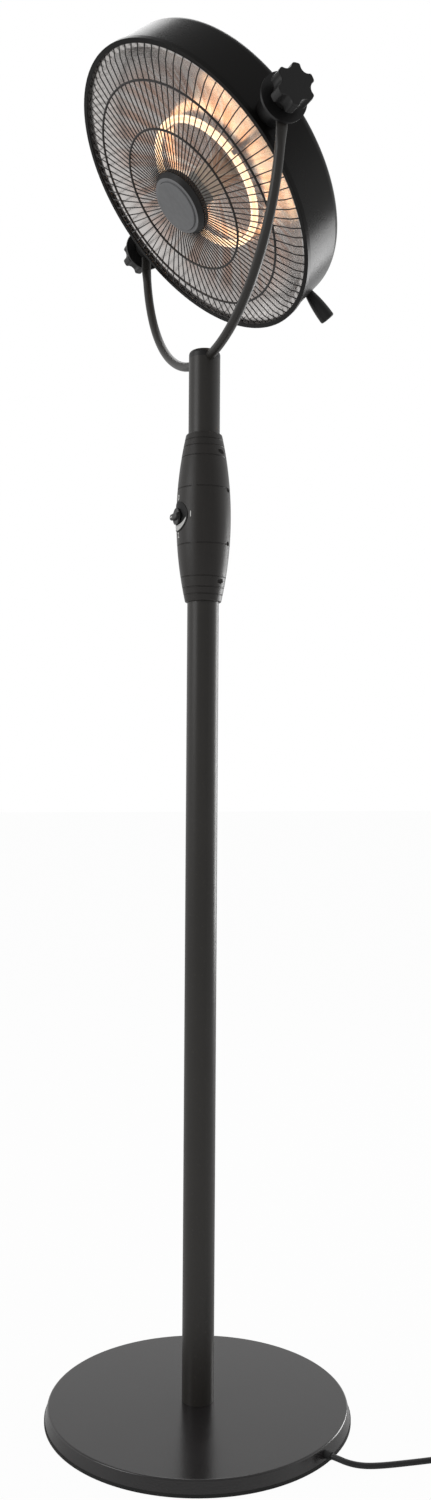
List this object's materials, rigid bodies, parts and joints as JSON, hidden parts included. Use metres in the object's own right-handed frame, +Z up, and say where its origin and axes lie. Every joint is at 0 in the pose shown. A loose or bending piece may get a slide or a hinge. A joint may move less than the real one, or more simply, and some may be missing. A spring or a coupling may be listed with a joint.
{
  "type": "infrared patio heater tower",
  "caption": "Free-standing black patio heater: weighted round base, plain pole with a control housing, and a round caged lamp head that tilts in a half-round yoke.",
  "frame": {"origin": "centre of the base's rubber edge on the floor, on the pole's axis", "axes": "+Z up the pole, -Y the way the head and the dial face, +X along the tilt axis towards the right star knob"},
  "size_m": [0.6001, 0.5448, 1.804],
  "materials": {
    "black_steel": "satin powder coat",
    "black_plastic": "matte, fine grain",
    "black_rubber": "matte",
    "steel": "zinc plated",
    "iron": "rough",
    "bright_aluminium": "polished",
    "guard_wire": "satin",
    "quartz": "clear, lit from inside",
    "hot_wire": "glowing coil",
    "ceramic": "glazed",
    "dial_print": "black with pale numbers",
    "cord_jacket": "satin",
    "plug_plastic": "satin",
    "pin_metal": "nickel plated"
  },
  "bodies": {
    "stand": {"edge_ring": "black_rubber", "base_plate": "black_steel", "base_plate_screws": "steel", "ballast": "iron", "base_cover": "black_steel", "cord_gland": "black_rubber", "pole_foot_plug": "steel", "pole_washer": "steel", "pole_bolt": "steel", "pole_tube": "black_steel", "pole_coupler": "steel", "upper_tube": "black_steel", "yoke_saddle": "black_plastic", "tube_cap": "black_plastic", "clamp_screw": "black_steel", "yoke": "black_steel", "housing_front": "black_plastic", "housing_rear": "black_plastic", "housing_screws": "black_steel", "switch_bracket": "steel", "rotary_switch": "black_plastic", "switch_screws": "steel", "terminal_block": "ceramic", "dial_plate": "dial_print", "supply_lead": "cord_jacket", "cord_run": "cord_jacket", "cord_coil": "cord_jacket", "cord_tail": "cord_jacket", "plug_body": "plug_plastic", "plug_pins": "pin_metal"},
    "selector": {"selector_knob": "black_plastic", "selector_shaft": "steel"},
    "head": {"drum_shell": "black_steel", "rim_bezel": "black_steel", "reflector": "bright_aluminium", "grille_hoop": "guard_wire", "grille_spokes": "guard_wire", "grille_outer_ring": "guard_wire", "grille_inner_ring": "guard_wire", "cap_bezel": "black_plastic", "cap_disc": "black_plastic", "lamp_tube": "quartz", "lamp_filament": "hot_wire", "lamp_holder": "ceramic", "lamp_clips": "steel", "lamp_mount_spacers": "steel", "lamp_mount_screws": "steel", "pivot_spacer_right": "black_plastic", "pivot_spacer_left": "black_plastic", "pivot_stud_right": "steel", "pivot_stud_left": "steel", "clamp_disc_right": "black_plastic", "clamp_disc_left": "black_plastic", "tilt_handle": "black_plastic", "handle_screw": "steel"},
    "star_right": {"star_knob_right": "black_plastic"},
    "star_left": {"star_knob_left": "black_plastic"}
  },
  "joints": [
    {"name": "head_tilt", "type": "hinge", "parent": "stand", "child": "head", "pos_m": [0, 0, 1.633], "axis": [1, 0, 0], "range_deg": [-32, 43]},
    {"name": "selector_turn", "type": "hinge", "parent": "stand", "child": "selector", "pos_m": [0, -0.0377, 1.18], "axis": [0, -1, 0], "range_deg": [0, 270]},
    {"name": "star_knob_right_turn", "type": "hinge", "parent": "head", "child": "star_right", "pos_m": [0.2393, 0, 1.633], "axis": [1, 0, 0], "range_deg": [0, 360]},
    {"name": "star_knob_left_turn", "type": "hinge", "parent": "head", "child": "star_left", "pos_m": [-0.2393, 0, 1.633], "axis": [-1, 0, 0], "range_deg": [0, 360]}
  ]
}
